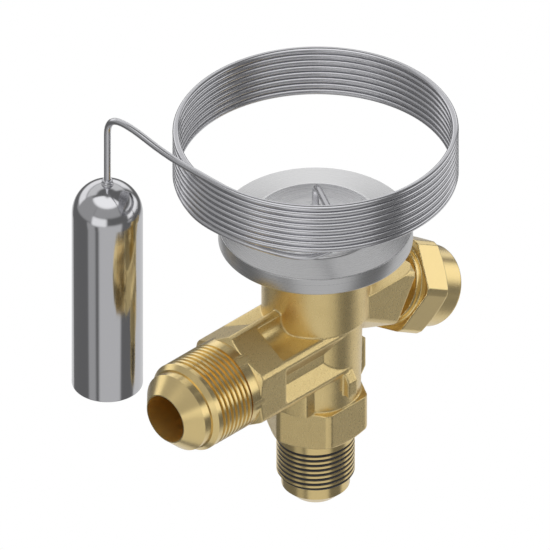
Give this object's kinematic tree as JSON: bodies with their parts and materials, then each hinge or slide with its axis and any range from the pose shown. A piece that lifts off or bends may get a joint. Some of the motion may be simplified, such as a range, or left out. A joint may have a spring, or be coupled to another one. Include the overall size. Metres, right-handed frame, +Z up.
{
  "type": "thermostatic expansion valve",
  "caption": "Brass expansion valve with flare inlet and outlet, sloping setting spindle under a hexagon cap, diaphragm element and a coiled capillary with sensing bulb.",
  "frame": {"origin": "on the vertical axis of the valve, at the end of the inlet thread above its chamfer", "axes": "+Z up the valve from inlet to element, -X out of the outlet, +X towards the setting spindle, +Y to the back, where the bulb hangs"},
  "size_m": [0.0796, 0.0675, 0.0917],
  "materials": {
    "forged_brass": "forged skin with machined threads and flats",
    "turned_brass": "machined",
    "element_steel": "turned, with fine circular brushing on top",
    "bulb_steel": "polished",
    "capillary_steel": "drawn",
    "spring_steel": "satin",
    "inner_steel": "machined",
    "seal_rubber": "matt",
    "gasket_fibre": "matt"
  },
  "bodies": {
    "valve": {"valve_body": "forged_brass", "element_lower_housing": "element_steel", "element_upper_housing": "element_steel", "element_ferrule": "element_steel", "diaphragm": "spring_steel", "orifice_body": "turned_brass", "orifice_seal": "seal_rubber", "cone_spring_retainer": "inner_steel", "strainer_frame": "turned_brass", "strainer_mesh": "inner_steel", "lever_bracket": "inner_steel", "lever_pin": "inner_steel", "spindle_gland": "turned_brass", "capillary_inner_lead": "capillary_steel", "capillary_coil": "capillary_steel", "capillary_outer_lead": "capillary_steel", "bulb_collar": "capillary_steel", "sensing_bulb": "bulb_steel"},
    "stem": {"thrust_pad": "inner_steel", "push_rod": "inner_steel", "valve_cone": "inner_steel", "cone_spring": "spring_steel"},
    "lever": {"setting_lever": "inner_steel"},
    "plunger": {"spring_plunger": "turned_brass", "superheat_spring": "spring_steel"},
    "seat": {"spring_seat": "turned_brass"},
    "spindle": {"setting_spindle": "turned_brass", "spindle_seal": "seal_rubber"},
    "gasket": {"cap_gasket": "gasket_fibre"},
    "cap": {"seal_cap": "turned_brass"}
  },
  "joints": [
    {"name": "valve_stroke", "type": "slide", "parent": "valve", "child": "stem", "axis": [0, 0, -1], "range_m": [0, 0.0006], "stiffness_N_per_m": 5000, "springref_m": -0.004, "deforming": ["cone_spring"]},
    {"name": "lever_tilt", "type": "hinge", "parent": "valve", "child": "lever", "pos_m": [-0.0052, 0, 0.0431], "axis": [0, 1, 0], "range_deg": [0, 6.7]},
    {"name": "plunger_slide", "type": "slide", "parent": "valve", "child": "plunger", "axis": [0.866, 0, -0.5], "range_m": [0, 0.00081], "deforming": ["superheat_spring"]},
    {"name": "spindle_turn", "type": "hinge", "parent": "valve", "child": "spindle", "pos_m": [0, 0, 0.0477], "axis": [0.866, 0, -0.5], "range_deg": [-724, 724]},
    {"name": "seat_travel", "type": "slide", "parent": "valve", "child": "seat", "axis": [0.866, 0, -0.5], "range_m": [-0.0014, 0.0014], "deforming": ["superheat_spring"]},
    {"name": "cap_travel", "type": "slide", "parent": "valve", "child": "gasket", "axis": [0.866, 0, -0.5], "range_m": [0, 0.01]},
    {"name": "cap_turn", "type": "hinge", "parent": "gasket", "child": "cap", "pos_m": [0, 0, 0.0477], "axis": [0.866, 0, -0.5], "range_deg": [0, 2884]}
  ],
  "couplings": [
    {"joint": "lever_tilt", "follows": "valve_stroke", "rad_per_m": 192.3},
    {"joint": "plunger_slide", "follows": "valve_stroke", "ratio": 1.33},
    {"joint": "spindle_turn", "follows": "seat_travel", "rad_per_m": 8975.9},
    {"joint": "cap_turn", "follows": "cap_travel", "rad_per_m": 5026.5}
  ]
}
